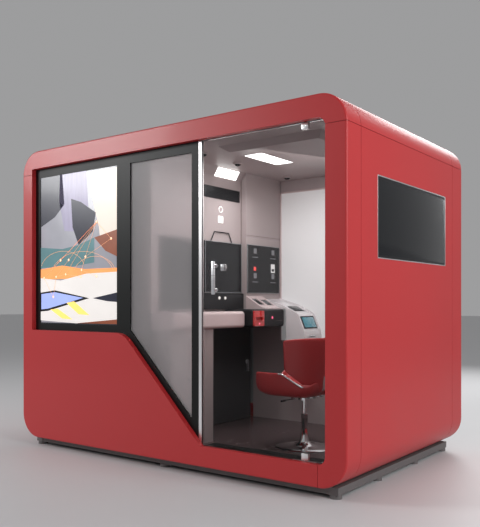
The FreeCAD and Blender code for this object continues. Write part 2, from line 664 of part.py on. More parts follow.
def build_safe():
    """The cash safe behind the knee space, its door with a turning handle, and the cassettes in it."""
    wall = 25
    xs = (d.knee_face - 600, d.knee_face - d.board)
    ys = (d.safe_start - 4, d.safe_start + d.safe_door_wide + 30)
    zs = (d.floor_top, d.module_low)
    room = box("safe_room", (xs[0] + wall, xs[1] + 1), (ys[0] + wall, ys[1] - wall), (zs[0] + wall, zs[1] - wall))
    keep(cut("cash_safe", box("safe_blank", xs, ys, zs), room))
    door_z = (d.floor_top + 6, d.module_low - 8)
    door = box("safe_door_blank", (d.knee_face - d.board + 0.5, d.knee_face + 8),
               (d.safe_start, d.safe_start + d.safe_door_wide), door_z)
    hole = cylinder("safe_spindle_hole", 8 + d.fit, 40, "x", d.knee_face - 30, SAFE_HANDLE_Y, SAFE_HANDLE_Z)
    keep(cut("safe_door", door, hole))
    face = d.knee_face + 8.3
    keep(fuse("safe_handle", cylinder("safe_spindle", 8, 26, "x", d.knee_face - 10, SAFE_HANDLE_Y, SAFE_HANDLE_Z),
              cylinder("safe_rose", 22, 6, "x", face, SAFE_HANDLE_Y, SAFE_HANDLE_Z),
              box("safe_lever", (face + 6, face + 20), (SAFE_HANDLE_Y - 9, SAFE_HANDLE_Y + 9),
                  (SAFE_HANDLE_Z - 90, SAFE_HANDLE_Z + 12))))
    shelves = [box(f"cassette_{i}", (d.knee_face - 540, d.knee_face - 60), (ys[0] + 60, ys[1] - 60),
                   (135 + 125 * i, 250 + 125 * i)) for i in range(4)]
    keep(group("cash_cassettes", shelves))


SAFE_HANDLE_Y = 745
SAFE_HANDLE_Z = 620


def build_module():
    """The black service module with the red dispenser mouth and its sliding shutter."""
    body = prism("module_blank", "YZ",
                 rectangle(d.module_start, d.module_end, d.module_low, d.module_top),
                 d.wall_face, d.module_front, [(22, (0, 1, 2, 3))])
    depth = (d.module_front - d.wall_face).value
    round_where(body, 16, lambda middle, bounds: abs(middle.x - depth) < 1e-3 and bounds.XLength < 1e-3)
    cave = box("dispenser_cave", (d.module_front - 60, d.module_front + 1), MOUTH_Y, (MOUTH_Z[0] - 2, MOUTH_Z[1] + 34))
    keep(cut("service_module", body, cave))
    bezel = prism("bezel_blank", "YZ", rectangle(BEZEL_Y[0], BEZEL_Y[1], BEZEL_Z[0], BEZEL_Z[1]),
                  d.module_front, d.module_front + 16, [(10, (0, 1, 2, 3))])
    mouth = box("bezel_mouth", (d.module_front - 1, d.module_front + 17), (MOUTH_Y[0] + 6, MOUTH_Y[1] - 6), MOUTH_Z)
    notch = box("bezel_notch", (d.module_front + 8, d.module_front + 17), (MOUTH_Y[0] + 25, MOUTH_Y[1] - 25),
                (MOUTH_Z[1] - 1, BEZEL_Z[1] + 1))
    keep(cut("dispenser_bezel", bezel, mouth, notch))
    keep(box("dispenser_shutter", (d.module_front - 6, d.module_front - 1), (MOUTH_Y[0] + 1, MOUTH_Y[1] - 1),
             (MOUTH_Z[0] - 1, MOUTH_Z[1] + 3)))


BEZEL_Y = (102, 240)
BEZEL_Z = (975, 1100)
MOUTH_Y = (117, 225)
MOUTH_Z = (1020, 1048)


def build_console():
    """The sloping console over the module, with a document scanner and a card reader let into it."""
    deck = prism("console_deck_blank", "XZ",
                 [(d.tower_face, d.module_top), (d.module_front - 36, d.module_top), (d.module_front - 36, 1120),
                  (26, 1124), (d.tower_face, 1223)], d.tower_start, d.module_end)
    wells = [box(f"console_well_{i}", xs, ys, (1122, 1230)) for i, (xs, ys) in enumerate(CONSOLE_WELLS)]
    keep(cut("console_deck", deck, *wells))
    readers = []
    for name, (xs, ys) in zip(("document_scanner", "card_reader"), CONSOLE_WELLS):
        drop = 8
        low_z = 1223 - (xs[1] + 144) * 99 / 170 - drop
        high_z = 1223 - (xs[0] + 144) * 99 / 170 - drop
        readers.append(prism(name, "XZ", [(xs[0], 1122), (xs[1], 1122), (xs[1], low_z), (xs[0], high_z)], *ys))
    keep(group("console_readers", readers))


CONSOLE_WELLS = [((-118, -20), (352, 432)), ((-104, -10), (462, 556))]


def kiosk_outline(grow):
    """The kiosk's side view: a sloping top that rolls over into a steep face, cut back under the desk."""
    return [(d.tower_face, 1112), (d.tower_face, 1200 + grow), (60, 1140 + grow), (215 + grow, 1062 + grow),
            (285 + grow, 905), (285 + grow, 800), (190, 700), (100, 700), (100, 1112)]


def build_kiosk():
    """The pearl-white card kiosk in the corner: a body between two cheeks, a scan window and a screen."""
    cheek = 16
    body = prism("kiosk_core", "XZ", kiosk_outline(0), d.kiosk_start + cheek, d.kiosk_end - cheek,
                 [(60, (3,)), (120, (4,)), (40, (5,)), (60, (2,))])
    cheeks = [prism(f"kiosk_cheek_{i}", "XZ", kiosk_outline(8), low, low + cheek,
                    [(60, (3,)), (120, (4,)), (40, (5,)), (60, (2,))])
              for i, low in enumerate((d.kiosk_start, d.kiosk_end - cheek))]
    keep(group("kiosk_body", [body] + cheeks))
    plates = []
    for name, start, run, wide in (("kiosk_window", (84, 1128), (62, -31), 120),
                                   ("kiosk_screen", (226, 1040), (38, -86), 190)):
        length = (run[0] ** 2 + run[1] ** 2) ** 0.5
        out = (-run[1] / length, run[0] / length)
        thick = 5
        base = [(start[0], start[1]), (start[0] + run[0], start[1] + run[1])]
        outline = [base[0], base[1], (base[1][0] + out[0] * thick, base[1][1] + out[1] * thick),
                   (base[0][0] + out[0] * thick, base[0][1] + out[1] * thick)]
        middle = (d.kiosk_start + d.kiosk_end) / 2
        plate = prism(f"{name}_blank", "XZ", outline, middle - wide / 2, middle + wide / 2)
        plates.append(cut(name, plate, prism(f"{name}_bed", "XZ", kiosk_outline(0), d.kiosk_start, d.kiosk_end,
                                             [(60, (3,)), (120, (4,)), (40, (5,)), (60, (2,))])))
    keep(group("kiosk_screens", plates))


# ---------------------------------------------------------------------------------------------- chair

def build_chair():
    """A swivel chair: disc base, column that slides, moulded seat and back shells with a bright trim."""
    x, y = d.chair_x, d.chair_y
    disc = cylinder("base_disc", d.chair_base, 12, "z", x, y, d.floor_top)
    post = cylinder("base_post", d.column_radius, 238, "z", x, y, d.floor_top + 12)
    bore = cylinder("base_bore", d.rod_radius + d.fit, 232, "z", x, y, d.floor_top + 20)
    keep(cut("chair_base", fuse("base_whole", disc, post), bore))
    column_foot, socket = 190, 20
    keep(cylinder("chair_column", d.rod_radius, d.seat_under + socket - 0.3 - column_foot, "z", x, y, column_foot))
    hub = cylinder("hub_drum", 45, 26, "z", x, y, d.seat_under)
    plate = box("hub_plate", (x - 95, x + 95), (y - 95, y + 95), (d.seat_under + 26, d.seat_under + 32))
    hole = cylinder("hub_bore", d.rod_radius + d.fit, socket + 1, "z", x, y, d.seat_under - 1)
    ears = [box(f"lever_ear_{i}", (px, px + 3), (y - 75, y - 51), (d.seat_under + 1, d.seat_under + 26))
            for i, px in enumerate((x - 69.5, x - 53.5))]
    hub = cut("chair_hub", fuse("hub_whole", hub, plate, *ears), hole)
    build_seat_shell()
    build_chair_details(hub)


def build_seat_shell():
    """The seat is a tub with high sides that fall towards the back; the back shell leans and wraps round it."""
    x, y = d.chair_x, d.chair_y
    under = d.seat_under + 32
    tub = prism("seat_tub", "XZ",
                [(x - 318, under + 33), (x - 190, under), (x + 110, under), (x + 178, under + 60),
                 (x + 173, under + 84), (x + 130, under + 99), (x - 40, under + 179), (x - 310, under + 179)],
                y - 240, y + 240, [(60, (1,)), (50, (2,)), (15, (4, 5)), (30, (6,)), (20, (0, 7))])
    bowl = box("seat_bowl", (x - 330, x + 130), (y - 190, y + 190), (under + 100, under + 200))
    keep(cut("chair_seat", tub, bowl))
    lean = 60
    low, high = under + 78, 925
    outer = doc.addObject("Part::Cone", "back_outer")
    inner = doc.addObject("Part::Cone", "back_inner")
    centre_x = x - 75
    for cone, shrink in ((outer, 0), (inner, 22)):
        cone.Radius1 = 262 - shrink
        cone.Radius2 = 262 + lean - shrink
        cone.setExpression("Height", size(high - low).text)
        place(cone, centre_x, y, low)
    zone = prism("back_zone", "XZ",
                 [(x - 30, under + 229), (x + 120, under + 114), (x + 260, under + 114), (x + 260, high), (x - 30, high)],
                 y - 340, y + 340)
    ring = cut("back_ring", outer, inner)
    keep(common("chair_back", ring, zone))


def build_chair_details(hub):
    """The bright rails that join the two shells to the hub, and the height lever under the seat."""
    x, y = d.chair_x, d.chair_y
    under = d.seat_under + 32
    arms = []
    for i, side in enumerate((-1, 1)):
        inner, outer = sorted((side * 40, side * 60))
        arms.append(prism(f"chair_rail_{i}", "XZ",
                          [(x + 95, under - 1), (x + 95, under - 6), (x + 120, under - 6), (x + 196, under + 60),
                           (x + 206, under + 160), (x + 198, under + 160), (x + 188, under + 66), (x + 116, under - 1)],
                          y + inner, y + outer))
    keep(group("chair_frame", [hub] + arms))
    level = d.seat_under + 8
    keep(fuse("chair_lever", cylinder("lever_pin", 6, 34, "y", x - 60, y - 80, level),
              cylinder("lever_rod", 4, 110, "y", x - 60, y - 185, level),
              cylinder("lever_grip", 8, 50, "y", x - 60, y - 220, level)))


# ----------------------------------------------------------------------------- displays and equipment

def build_side_display():
    """The landscape display let into the right side: bright trim round a black pane."""
    xs = (half_width - DISPLAY_DEPTH, half_width)
    trim = 7
    inner_y = (SIDE_DISPLAY_Y[0] + trim, SIDE_DISPLAY_Y[1] - trim)
    inner_z = (SIDE_DISPLAY_Z[0] + trim, SIDE_DISPLAY_Z[1] - trim)
    hole = box("side_trim_hole", (half_width - DISPLAY_DEPTH - 1, half_width + 1), inner_y, inner_z)
    trim = cut("side_trim", box("side_trim_blank", xs, SIDE_DISPLAY_Y, SIDE_DISPLAY_Z), hole)
    keep(group("side_display", [trim, box("side_pane", (half_width - DISPLAY_DEPTH, half_width - 2), inner_y, inner_z)]))


def build_rear():
    """The rear wall and the hinged service door of the equipment space, with its turning lock."""
    ys = (back - d.lip - 20, back - d.lip)
    low, high = d.opening_bottom + d.door_gap, d.opening_top - d.door_gap
    keep(box("rear_wall_panel", (SERVICE_X[1] + 5, opening_x1 + 12), ys,
             (d.opening_bottom - 12, d.opening_top + 12)))
    door = box("service_door_blank", SERVICE_X, ys, (low, high))
    hole = cylinder("service_lock_hole", 9 + d.fit, 30, "y", LATCH_X, ys[0] - 5, LATCH_Z)
    keep(cut("service_door", door, hole))
    lever = box("latch_lever", (LATCH_X - 12, LATCH_X + 12), (ys[1] + 6.3, ys[1] + 20), (LATCH_Z - 110, LATCH_Z + 14))
    keep(fuse("service_latch", cylinder("latch_spindle", 9, 34, "y", LATCH_X, ys[0] - 8, LATCH_Z),
              cylinder("latch_rose", 24, 6, "y", LATCH_X, ys[1] + 0.3, LATCH_Z), lever))


SERVICE_X = (-1355, -480)
LATCH_X = -530
LATCH_Z = 1150


def build_equipment():
    """What works behind the terminal wall: the control computer, the power unit and their shelf."""
    pieces = [box("equipment_shelf", (-1200, -500), (-300, 180), (1180, 1200)),
              box("control_computer", (-1100, -760), (-240, 120), (1200, 1390)),
              box("power_unit", (-1250, -1000), (-700, -400), (d.floor_top, 620))]
    pieces += [box(f"shelf_post_{i}", (px - 15, px + 15), (py - 15, py + 15), (d.floor_top, 1180))
               for i, (px, py) in enumerate([(px, py) for px in (-1185, -515) for py in (-285, 165)])]
    keep(group("equipment_rack", pieces))


def check_and_write():
    """Stop on anything that failed, then write one STEP file for each sub-part."""
    doc.recompute()
    for thing in doc.Objects:
        if {"Invalid", "Error"} & set(thing.State):
            raise RuntimeError(f"{thing.Label} failed: {thing.State}")
    os.makedirs("parts", exist_ok=True)
    labels = [solid.Label for solid in nodes]
    if len(set(labels)) != len(labels) or len(labels) > 60:
        raise RuntimeError("sub-parts need 60 different names at most")
    for solid in nodes:
        shape = solid.Shape
        if shape.isNull() or not shape.isValid() or shape.Volume < 1:
            raise RuntimeError(f"{solid.Label} has no valid solid")
        shape.exportStep(f"parts/{solid.Label}.step")
        bounds = shape.BoundBox
        print(f"{solid.Label:22s} {shape.Volume / 1000:10.1f} cm3  "
              f"x {bounds.XMin:8.1f} {bounds.XMax:8.1f}  y {bounds.YMin:7.1f} {bounds.YMax:7.1f}  "
              f"z {bounds.ZMin:7.1f} {bounds.ZMax:7.1f}  {len(shape.Solids)} solid(s)")
    print(len(nodes), "sub-parts")


build_front_ring()
build_middle_shell()
build_rear_ring()
build_roof_fittings()
build_plinth()
build_glazing()
build_door()
build_doorway()
build_room()
build_terminal_wall(*build_ceiling())
build_desk()
build_safe()
build_module()
build_console()
build_kiosk()
build_chair()
build_side_display()
build_rear()
build_equipment()
check_and_write()
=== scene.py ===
"""Looks of the walk-in banking booth: materials on every CAD node and detailed pieces around them.

Metres, in the part's own frame: +X right, +Y into the booth, +Z up, origin on the ground under its middle.
"""

import json
import math

import bmesh
import bpy
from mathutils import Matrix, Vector


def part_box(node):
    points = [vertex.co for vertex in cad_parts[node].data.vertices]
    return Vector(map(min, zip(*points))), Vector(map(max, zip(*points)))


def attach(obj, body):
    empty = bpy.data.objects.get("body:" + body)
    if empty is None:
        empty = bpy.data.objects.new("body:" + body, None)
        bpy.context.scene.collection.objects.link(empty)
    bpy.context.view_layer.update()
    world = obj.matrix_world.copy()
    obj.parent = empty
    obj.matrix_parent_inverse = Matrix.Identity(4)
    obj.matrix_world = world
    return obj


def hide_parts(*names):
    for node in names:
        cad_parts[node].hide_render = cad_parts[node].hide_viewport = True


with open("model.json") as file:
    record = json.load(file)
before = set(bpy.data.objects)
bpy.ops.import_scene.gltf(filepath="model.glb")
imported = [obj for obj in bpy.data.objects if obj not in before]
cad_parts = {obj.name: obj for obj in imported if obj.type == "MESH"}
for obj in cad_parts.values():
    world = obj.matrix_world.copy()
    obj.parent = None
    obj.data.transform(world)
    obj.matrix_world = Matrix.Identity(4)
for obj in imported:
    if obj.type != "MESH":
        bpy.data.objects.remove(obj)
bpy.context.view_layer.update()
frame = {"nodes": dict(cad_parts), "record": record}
record = frame["record"]
nodes = frame["nodes"]


# ------------------------------------------------------------------------------------------ materials

def look(name, color, rough=0.5, metal=0.0, grain=60.0, vary=0.12, bump=0.0001, coat=0.0,
         stretch=(1, 1, 1), glow=0.0, glass=0.0, ior=1.5, mirror=0.5, clouds=2.5):
    """A surface whose colour, roughness and bump come from two noises in the part's own space."""
    mat = bpy.data.materials.new(name)
    mat.use_nodes = True
    tree = mat.node_tree
    shader = tree.nodes["Principled BSDF"]
    shader.inputs["Metallic"].default_value = metal
    shader.inputs["Coat Weight"].default_value = coat
    shader.inputs["Coat Roughness"].default_value = 0.12
    shader.inputs["Transmission Weight"].default_value = glass
    shader.inputs["IOR"].default_value = ior
    shader.inputs["Specular IOR Level"].default_value = mirror
    shader.inputs["Emission Strength"].default_value = glow
    shader.inputs["Emission Color"].default_value = (*color, 1)

    where = tree.nodes.new("ShaderNodeTexCoord")
    mapping = tree.nodes.new("ShaderNodeMapping")
    mapping.inputs["Scale"].default_value = stretch
    tree.links.new(where.outputs["Object"], mapping.inputs["Vector"])
    fine = tree.nodes.new("ShaderNodeTexNoise")
    fine.inputs["Scale"].default_value = grain
    fine.inputs["Detail"].default_value = 5
    broad = tree.nodes.new("ShaderNodeTexNoise")
    broad.inputs["Scale"].default_value = clouds
    broad.inputs["Detail"].default_value = 2
    for noise in (fine, broad):
        tree.links.new(mapping.outputs["Vector"], noise.inputs["Vector"])
    both = tree.nodes.new("ShaderNodeMath")
    both.operation = "MULTIPLY_ADD"
    both.inputs[1].default_value = 0.5
    halved = tree.nodes.new("ShaderNodeMath")
    halved.operation = "MULTIPLY"
    halved.inputs[1].default_value = 0.5
    tree.links.new(broad.outputs["Fac"], halved.inputs[0])
    tree.links.new(fine.outputs["Fac"], both.inputs[0])
    tree.links.new(halved.outputs[0], both.inputs[2])
    tint = tree.nodes.new("ShaderNodeMix")
    tint.data_type = "RGBA"
    tint.inputs["A"].default_value = (*(c * (1 - vary) for c in color), 1)
    tint.inputs["B"].default_value = (*(min(c * (1 + vary), 1) for c in color), 1)
    tree.links.new(both.outputs[0], tint.inputs["Factor"])
    tree.links.new(tint.outputs["Result"], shader.inputs["Base Color"])
    worn = tree.nodes.new("ShaderNodeMapRange")
    worn.inputs["To Min"].default_value = rough * 0.82
    worn.inputs["To Max"].default_value = min(rough * 1.18, 1)
    tree.links.new(both.outputs[0], worn.inputs["Value"])
    tree.links.new(worn.outputs["Result"], shader.inputs["Roughness"])
    if bump:
        lift = tree.nodes.new("ShaderNodeBump")
        lift.inputs["Distance"].default_value = bump
        tree.links.new(fine.outputs["Fac"], lift.inputs["Height"])
        tree.links.new(lift.outputs["Normal"], shader.inputs["Normal"])
    return mat


BRUSHED = (1, 1, 30)
SURFACES = {
    "shell_red": dict(color=(0.50, 0.028, 0.031), rough=0.42, grain=260, vary=0.06, bump=0.00003, coat=0.12,
                      mirror=0.38),
    # plinth_grey is coloured nearly black as painted shade, so the base frame reads as the shadow gap under
    # the booth
    "plinth_grey": dict(color=(0.13, 0.12, 0.12), rough=0.6, grain=300),
    "zinc_steel": dict(color=(0.72, 0.72, 0.74), rough=0.28, metal=1.0, grain=90, stretch=BRUSHED,
                       bump=0.00002),
    "bar_black": dict(color=(0.008, 0.009, 0.009), rough=0.42, grain=700, bump=0.00004, mirror=0.2),
    "frosted": dict(color=(0.86, 0.83, 0.84), rough=0.34, grain=900, vary=0.03, bump=0.00003, glass=0.80,
                    ior=1.2, mirror=0.3),
    "poster": dict(color=(0.03, 0.035, 0.05), rough=0.25, grain=30, coat=0.6, bump=0),
    "bright_trim": dict(color=(0.86, 0.86, 0.87), rough=0.3, metal=1.0, grain=120, stretch=(30, 1, 1)),
    "clear_glass": dict(color=(0.97, 0.985, 0.98), rough=0.03, grain=3, vary=0.01, bump=0, glass=1.0,
                        ior=1.14),
    "floor_dark": dict(color=(0.105, 0.070, 0.072), rough=0.26, grain=40, vary=0.08, bump=0, coat=0.1,
                       mirror=0.35),
    "lining_dark": dict(color=(0.045, 0.040, 0.041), rough=0.5, grain=500, vary=0.2),
    "panel_white": dict(color=(0.80, 0.79, 0.80), rough=0.4, grain=500, vary=0.03, bump=0.00002, glow=0.16),
    "wall_grey": dict(color=(0.40, 0.335, 0.335), rough=0.45, grain=600, vary=0.08, bump=0.00004),
    "device_black": dict(color=(0.015, 0.015, 0.017), rough=0.36, grain=900, vary=0.2, bump=0.00003,
                         mirror=0.25),
    "screen": dict(color=(0.012, 0.013, 0.015), rough=0.10, grain=5, bump=0, coat=0.15, mirror=0.22),
    "button_lit": dict(color=(0.85, 0.78, 0.74), rough=0.3, grain=200, glow=0.35),
    "counter_pale": dict(color=(0.66, 0.53, 0.53), rough=0.28, grain=350, vary=0.05, bump=0.00002, coat=0.3),
    "steel_dark": dict(color=(0.030, 0.030, 0.033), rough=0.55, grain=700, bump=0.0002),
    "equipment_grey": dict(color=(0.30, 0.31, 0.32), rough=0.5, grain=600, bump=0.0001),
    "dispenser_red": dict(color=(0.60, 0.025, 0.025), rough=0.25, grain=200, vary=0.08, coat=0.8, glow=0.05),
    "shutter_grey": dict(color=(0.42, 0.020, 0.020), rough=0.35, metal=0.2, grain=150, stretch=(1, 30, 1)),
    "kiosk_pearl": dict(color=(0.78, 0.74, 0.76), rough=0.22, grain=700, vary=0.04, bump=0.00001, coat=0.7),
    "chrome": dict(color=(0.80, 0.80, 0.81), rough=0.10, metal=1.0, grain=20, vary=0.03, bump=0),
    "chair_red": dict(color=(0.44, 0.026, 0.030), rough=0.42, grain=380, vary=0.14, bump=0.00010, coat=0.15),
}
EXTRA_SURFACES = {
    "lamp": dict(color=(1.0, 0.98, 0.97), rough=0.5, vary=0.01, bump=0, glow=3.0),
    "lining_grey": dict(color=(0.44, 0.37, 0.375), rough=0.5, grain=500, vary=0.1),
    "rubber": dict(color=(0.013, 0.013, 0.013), rough=0.8, grain=500, vary=0.3, bump=0.0003),
    "seam": dict(color=(0.16, 0.12, 0.12), rough=0.7, grain=200),
    "mark": dict(color=(0.92, 0.90, 0.90), rough=0.5, grain=200, vary=0.04, glow=0.35),
    "icon_red": dict(color=(0.65, 0.06, 0.05), rough=0.4, glow=0.5, bump=0),
    "icon_dim": dict(color=(0.16, 0.16, 0.17), rough=0.4, glow=0.25, bump=0),
    "icon_white": dict(color=(0.62, 0.60, 0.60), rough=0.4, glow=0.45, bump=0),
    "teal": dict(color=(0.02, 0.13, 0.17), rough=0.15, grain=14, vary=0.9, glow=0.7, bump=0, coat=1.0,
                 clouds=9),
    "lamp_pink": dict(color=(0.95, 0.12, 0.22), rough=0.3, glow=1.5, bump=0),
    "art_base": dict(color=(0.33, 0.33, 0.37), rough=0.3, grain=4, vary=0.5, glow=0.35, bump=0, coat=0.2,
                     clouds=3),
    "art_navy": dict(color=(0.012, 0.014, 0.035), rough=0.3, grain=6, vary=0.8, glow=0.2, bump=0, coat=0.2),
    "art_lilac": dict(color=(0.36, 0.33, 0.46), rough=0.3, grain=7, vary=0.5, glow=0.35, bump=0, coat=0.2,
                      stretch=(9, 1, 1)),
    "art_cream": dict(color=(0.86, 0.76, 0.66), rough=0.3, grain=5, vary=0.12, glow=0.38, bump=0, coat=0.2),
    "art_paper": dict(color=(0.84, 0.80, 0.77), rough=0.3, grain=5, vary=0.12, glow=0.42, bump=0, coat=0.2),
    "art_teal": dict(color=(0.10, 0.22, 0.24), rough=0.3, grain=6, vary=0.6, glow=0.4, bump=0, coat=0.2),
    "art_brown": dict(color=(0.26, 0.07, 0.03), rough=0.3, grain=8, vary=0.6, glow=0.35, bump=0, coat=0.2),
    "art_orange": dict(color=(0.95, 0.32, 0.10), rough=0.3, grain=9, vary=0.4, glow=0.7, bump=0, coat=0.2),
    "art_blue": dict(color=(0.34, 0.42, 0.85), rough=0.3, grain=9, vary=0.3, glow=0.6, bump=0, coat=0.2),
    "art_yellow": dict(color=(0.98, 0.66, 0.16), rough=0.3, grain=9, vary=0.12, glow=0.75, bump=0, coat=0.2),
    "art_glow": dict(color=(1.0, 0.62, 0.42), rough=0.3, vary=0.05, glow=1.2, bump=0),
    "art_line": dict(color=(1.0, 0.50, 0.28), rough=0.3, vary=0.05, glow=0.55, bump=0),
}
LOOKS = {name: look(name, **values) for name, values in SURFACES.items()}
EXTRA = {name: look(name, **values) for name, values in EXTRA_SURFACES.items()}


def dress_frame():
    """Every CAD node gets the look of its material slot."""
    for entry in record["subparts"]:
        mesh = nodes[entry["node"]].data
        mesh.materials.clear()
        mesh.materials.append(LOOKS[entry["material_slot"]])
    nodes["light_panels"].data.materials[0] = EXTRA["lamp"]
    nodes["back_lining"].data.materials[0] = EXTRA["lining_grey"]


# --------------------------------------------------------------------------------------- mesh helpers

class Maker:
    """Collects bevelled shapes in one mesh. Each shape carries the number of its material."""

    def __init__(self):
        self.bm = bmesh.new()

    def take(self, part, which):
        for face in part.faces:
            face.material_index = which
        mesh = bpy.data.meshes.new("shape")
        part.to_mesh(mesh)
        part.free()
        self.bm.from_mesh(mesh)
        bpy.data.meshes.remove(mesh)

    def block(self, low, high, bevel=0.002, which=0, segments=3):
        part = bmesh.new()
        bmesh.ops.create_cube(part, size=1)
        low, high = Vector(low), Vector(high)
        size = high - low
        for vert in part.verts:
            vert.co = Vector((vert.co[i] * size[i] for i in range(3))) + (low + high) / 2
        bmesh.ops.bevel(part, geom=part.edges[:], offset=min(bevel, min(size) * 0.45), segments=segments,
                        profile=0.5, affect="EDGES")
        self.take(part, which)

    def rod(self, start, end, radius, which=0, sides=28, tip=None):
        """A round bar with softened ends; tip is the radius at its end."""
        start, end = Vector(start), Vector(end)
        run = end - start
        part = bmesh.new()
        bmesh.ops.create_cone(part, cap_ends=True, segments=sides, radius1=radius,
                              radius2=radius if tip is None else tip, depth=run.length)
        rims = [e for e in part.edges if abs(e.verts[0].co.z - e.verts[1].co.z) < 1e-7]
        bmesh.ops.bevel(part, geom=rims, offset=min(radius * 0.25, run.length * 0.3), segments=2,
                        profile=0.5, affect="EDGES")
        turn = Vector((0, 0, 1)).rotation_difference(run)
        for vert in part.verts:
            vert.co = turn @ vert.co + (start + end) / 2
        self.take(part, which)

    def lathe(self, profile, x, y, which=0, sides=64):
        """A profile of (radius, z) turned round a vertical line; its first and last points lie on it."""
        part = bmesh.new()
        first = part.verts.new((x, y, profile[0][1]))
        rings = []
        for radius, z in profile[1:-1]:
            turns = [math.tau * i / sides for i in range(sides)]
            rings.append([part.verts.new((x + radius * math.cos(turn), y + radius * math.sin(turn), z))
                          for turn in turns])
        last = part.verts.new((x, y, profile[-1][1]))
        for i in range(sides):
            j = (i + 1) % sides
            part.faces.new((first, rings[0][j], rings[0][i]))
            for low, high in zip(rings, rings[1:]):
                part.faces.new((low[i], low[j], high[j], high[i]))
            part.faces.new((rings[-1][i], rings[-1][j], last))
        bmesh.ops.recalc_face_normals(part, faces=part.faces[:])
        self.take(part, which)

    def slab(self, outline, depth, which=0, bevel=0.0):
        """A flat outline of 3-D points, thickened by the vector depth."""
        part = bmesh.new()
        depth = Vector(depth)
        near = [part.verts.new(Vector(p)) for p in outline]
        far = [part.verts.new(Vector(p) + depth) for p in outline]
        part.faces.new(near)
        part.faces.new(far[::-1])
        count = len(near)
        for i in range(count):
            part.faces.new((near[i], near[(i + 1) % count], far[(i + 1) % count], far[i]))
        bmesh.ops.recalc_face_normals(part, faces=part.faces[:])
        if bevel:
            bmesh.ops.bevel(part, geom=part.edges[:], offset=bevel, segments=2, profile=0.5, affect="EDGES")
        self.take(part, which)

    def tube(self, path, radius, which=0, sides=12):
        """A round tube through the points of a path."""
        part = bmesh.new()
        points = [Vector(p) for p in path]
        rings = []
        side = None
        for i, point in enumerate(points):
            along = (points[min(i + 1, len(points) - 1)] - points[max(i - 1, 0)]).normalized()
            if side is None:
                side = along.orthogonal().normalized()
            side = (side - along * side.dot(along)).normalized()
            other = along.cross(side)
            rings.append([part.verts.new(point + radius * (side * math.cos(math.tau * k / sides)
                                                           + other * math.sin(math.tau * k / sides)))
                          for k in range(sides)])
        for low, high in zip(rings, rings[1:]):
            for k in range(sides):
                j = (k + 1) % sides
                part.faces.new((low[k], low[j], high[j], high[k]))
        part.faces.new(rings[0][::-1])
        part.faces.new(rings[-1])
        bmesh.ops.recalc_face_normals(part, faces=part.faces[:])
        self.take(part, which)

    def done(self, name, body, materials, replaces=()):
        """Turn the shapes into a piece that rides on a body."""
        mesh = bpy.data.meshes.new(name)
        for edge in self.bm.edges:
            edge.smooth = len(edge.link_faces) == 2 and edge.calc_face_angle(0) < math.radians(38)
        for face in self.bm.faces:
            face.smooth = True
        self.bm.to_mesh(mesh)
        self.bm.free()
        for mat in materials:
            mesh.materials.append(mat)
        piece = bpy.data.objects.new(name, mesh)
        bpy.context.scene.collection.objects.link(piece)
        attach(piece, body)
        if replaces:
            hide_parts(*replaces)
        return piece


def arc(centre, radius, start, end, steps):
    """Points (a, b) on an arc; the angles are in degrees."""
    return [(centre[0] + radius * math.cos(math.radians(start + (end - start) * i / steps)),
             centre[1] + radius * math.sin(math.radians(start + (end - start) * i / steps)))
            for i in range(steps + 1)]


# -------------------------------------------------------------------------------------- camera, light

CAMERA_PLACE = (3.412, -4.534, 1.161)
CAMERA_TURN = 36.7
CAMERA_LENS = 47.86
CAMERA_SHIFT = 0.0756


def add_camera():
    data = bpy.data.cameras.new("camera")
    data.lens = CAMERA_LENS
    data.shift_y = CAMERA_SHIFT
    camera = bpy.data.objects.new("camera", data)
    camera.location = CAMERA_PLACE
    camera.rotation_euler = (math.radians(90), 0, math.radians(CAMERA_TURN))
    bpy.context.scene.collection.objects.link(camera)
    bpy.context.scene.camera = camera


def add_light(name, place, target, size, power, color=(1, 1, 1), tall=None):
    data = bpy.data.lights.new(name, "AREA")
    data.shape = "RECTANGLE"
    data.size = size
    data.size_y = tall or size
    data.energy = power
    data.color = color
    lamp = bpy.data.objects.new(name, data)
    lamp.location = place
    lamp.rotation_euler = (Vector(target) - Vector(place)).to_track_quat("-Z", "Y").to_euler()
    lamp.visible_camera = False
    lamp.visible_transmission = False
    bpy.context.scene.collection.objects.link(lamp)
    return lamp


def add_studio():
    """A pale floor, a soft key from the front left, a fill from the right and the booth's own lamps."""
    bpy.context.scene.view_settings.view_transform = "Standard"
    world = bpy.data.worlds.new("studio")
    world.use_nodes = True
    world.node_tree.nodes["Background"].inputs["Color"].default_value = (0.80, 0.80, 0.81, 1)
    world.node_tree.nodes["Background"].inputs["Strength"].default_value = 0.42
    bpy.context.scene.world = world
    mesh = bpy.data.meshes.new("studio_floor")
    reach = 60
    mesh.from_pydata([(-reach, -reach, 0), (reach, -reach, 0), (reach, reach, 0), (-reach, reach, 0)], [],
                     [(0, 1, 2, 3)])
    mesh.materials.append(look("floor_pale", (0.60, 0.60, 0.61), 0.55, grain=3, vary=0.02, bump=0))
    floor = bpy.data.objects.new("studio_floor", mesh)
    bpy.context.scene.collection.objects.link(floor)
    add_light("key", (-5.6, -5.4, 4.2), (-1.3, -0.9, 1.7), 2.4, 270)
    add_light("fill", (6.2, -1.2, 3.2), (1.5, 0, 1.2), 3.0, 190)
    add_light("rear", (0, 6.5, 4.2), (0, 0.9, 1.2), 3.5, 220)
    add_light("ceiling_lamp_light", (0.4535, -0.1965, 2.235), (0.4535, -0.1965, 0), 0.15, 7, tall=0.4)
    add_light("valance_light", (0.10, 0.097, 2.20), (0.55, 0.0, 0.6), 0.06, 3, tall=0.28)
    add_light("room_fill", (1.0, -0.3, 1.95), (0.0, 0.1, 0.9), 0.7, 7, (1, 0.95, 0.94), tall=0.9)


# ------------------------------------------------------------------------------------------- outside

